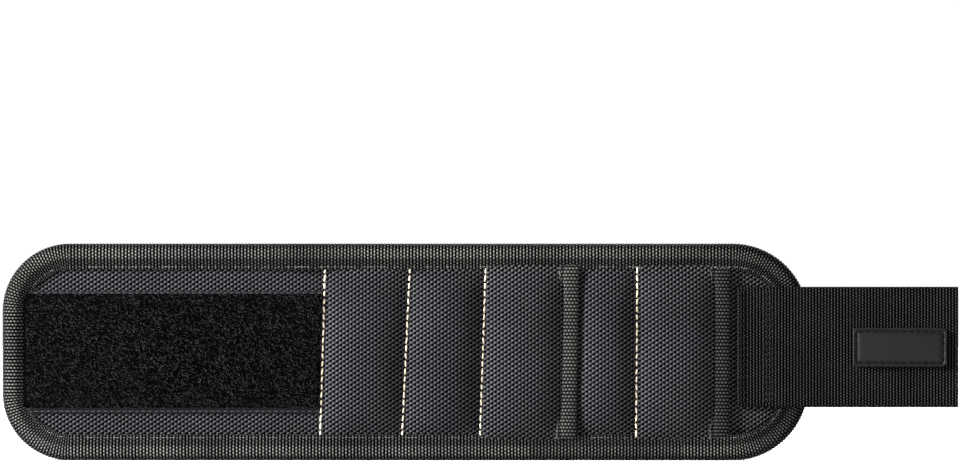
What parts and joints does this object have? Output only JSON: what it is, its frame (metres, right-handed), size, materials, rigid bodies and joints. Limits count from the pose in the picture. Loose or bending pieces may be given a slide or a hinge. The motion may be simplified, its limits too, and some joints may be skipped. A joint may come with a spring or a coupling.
{
  "type": "magnetic wristband",
  "caption": "Padded cloth wristband laid out flat, with magnets in stitched channels, pockets with bound mouths, an inner elastic and a hook and loop strap.",
  "frame": {"origin": "where the wrist meets the elastic, in the middle of the elastic's longest run", "axes": "+X along the band to the tail, +Z across its width, +Y out of the face that lies on the wrist"},
  "size_m": [0.3975, 0.0119, 0.09],
  "materials": {
    "mesh": "matte spacer mesh",
    "cloth": "coarse oxford weave",
    "tape": "ribbed binding tape",
    "webbing": "ribbed webbing",
    "loop": "brushed loop pile",
    "hook": "nylon hooks",
    "elastic": "ribbed elastic",
    "rubber": "satin moulded rubber",
    "magnet": "nickel plated"
  },
  "bodies": {
    "loop_tip": {"lining_loop_tip": "mesh", "shell_loop_tip": "cloth", "binding_loop_tip": "tape", "loop_patch_loop_tip": "loop", "elastic_loop_tip": "elastic"},
    "loop_middle": {"lining_loop_middle": "mesh", "shell_loop_middle": "cloth", "binding_loop_middle_top": "tape", "binding_loop_middle_bottom": "tape", "loop_patch_loop_middle": "loop", "elastic_loop_middle": "elastic"},
    "loop_neck": {"lining_loop_neck": "mesh", "shell_loop_neck": "cloth", "binding_loop_neck_top": "tape", "binding_loop_neck_bottom": "tape", "loop_patch_loop_neck": "loop", "elastic_loop_neck": "elastic"},
    "panel_1": {"lining_panel_1": "mesh", "padded_panel_1": "cloth", "magnet_1_lower": "magnet", "magnet_1_upper": "magnet", "binding_panel_1_top": "tape", "binding_panel_1_bottom": "tape"},
    "panel_2": {"lining_panel_2": "mesh", "padded_panel_2": "cloth", "magnet_2_lower": "magnet", "magnet_2_upper": "magnet", "binding_panel_2_top": "tape", "binding_panel_2_bottom": "tape"},
    "pocket_1_back": {"lining_pocket_1_back": "mesh", "shell_pocket_1_back": "cloth", "binding_pocket_1_back_top": "tape", "binding_pocket_1_back_bottom": "tape"},
    "panel_3": {"lining_panel_3": "mesh", "padded_panel_3": "cloth", "magnet_4_lower": "magnet", "magnet_4_upper": "magnet", "binding_panel_3_top": "tape", "binding_panel_3_bottom": "tape"},
    "pocket_2_back": {"lining_pocket_2_back": "mesh", "shell_pocket_2_back": "cloth", "binding_pocket_2_back_top": "tape", "binding_pocket_2_back_bottom": "tape", "hook_pocket_2_back": "hook"},
    "strap_end": {"lining_strap_end": "mesh", "shell_strap_end": "cloth", "binding_strap_end": "tape", "hook_strap_end": "hook", "strap_base": "webbing"},
    "tail": {"strap_tail": "webbing", "tail_hook": "hook", "label": "rubber"},
    "pocket_1": {"pocket_1_front": "cloth", "pocket_1_binding": "tape", "magnet_3_lower": "magnet", "magnet_3_upper": "magnet"},
    "pocket_2": {"pocket_2_front": "cloth", "pocket_2_binding": "tape", "magnet_5_lower": "magnet", "magnet_5_upper": "magnet"}
  },
  "joints": [
    {"name": "wrap", "type": "hinge", "parent": "loop_middle", "child": "loop_neck", "pos_m": [0.028, -0.0037, 0], "axis": [0, 0, 1], "range_deg": [0, 66.35]},
    {"name": "bend_loop_tip", "type": "hinge", "parent": "loop_middle", "child": "loop_tip", "pos_m": [-0.028, -0.0037, 0], "axis": [0, 0, -1], "range_deg": [0, 57.1]},
    {"name": "bend_stitch_1", "type": "hinge", "parent": "loop_neck", "child": "panel_1", "pos_m": [0.0713, -0.0037, 0], "axis": [0, 0, 1], "range_deg": [0, 49]},
    {"name": "bend_stitch_2", "type": "hinge", "parent": "panel_1", "child": "panel_2", "pos_m": [0.106, -0.0037, 0], "axis": [0, 0, 1], "range_deg": [0, 38.1]},
    {"name": "bend_stitch_3", "type": "hinge", "parent": "panel_2", "child": "pocket_1_back", "pos_m": [0.138, -0.0037, 0], "axis": [0, 0, 1], "range_deg": [0, 38.9]},
    {"name": "bend_mouth_1", "type": "hinge", "parent": "pocket_1_back", "child": "panel_3", "pos_m": [0.1776, -0.0037, 0], "axis": [0, 0, 1], "range_deg": [0, 35]},
    {"name": "bend_stitch_4", "type": "hinge", "parent": "panel_3", "child": "pocket_2_back", "pos_m": [0.202, -0.0037, 0], "axis": [0, 0, 1], "range_deg": [0, 36.6]},
    {"name": "bend_mouth_2", "type": "hinge", "parent": "pocket_2_back", "child": "strap_end", "pos_m": [0.2409, -0.0037, 0], "axis": [0, 0, 1], "range_deg": [0, 46.3]},
    {"name": "tail_fold", "type": "hinge", "parent": "strap_end", "child": "tail", "pos_m": [0.27465, -0.0094, 0], "axis": [0, 0, 1], "range_deg": [-120, 50]},
    {"name": "pocket_1_open", "type": "hinge", "parent": "pocket_1_back", "child": "pocket_1", "pos_m": [0.1386, -0.0064, 0], "axis": [0, 0, -1], "range_deg": [0, 20]},
    {"name": "pocket_2_open", "type": "hinge", "parent": "pocket_2_back", "child": "pocket_2", "pos_m": [0.2026, -0.0064, 0], "axis": [0, 0, -1], "range_deg": [0, 20]}
  ],
  "couplings": [
    {"joint": "bend_loop_tip", "follows": "wrap", "ratio": 0.8591},
    {"joint": "bend_stitch_1", "follows": "wrap", "ratio": 0.7371},
    {"joint": "bend_stitch_2", "follows": "wrap", "ratio": 0.5739},
    {"joint": "bend_stitch_3", "follows": "wrap", "ratio": 0.5856},
    {"joint": "bend_mouth_1", "follows": "wrap", "ratio": 0.5267},
    {"joint": "bend_stitch_4", "follows": "wrap", "ratio": 0.5514},
    {"joint": "bend_mouth_2", "follows": "wrap", "ratio": 0.6973}
  ]
}
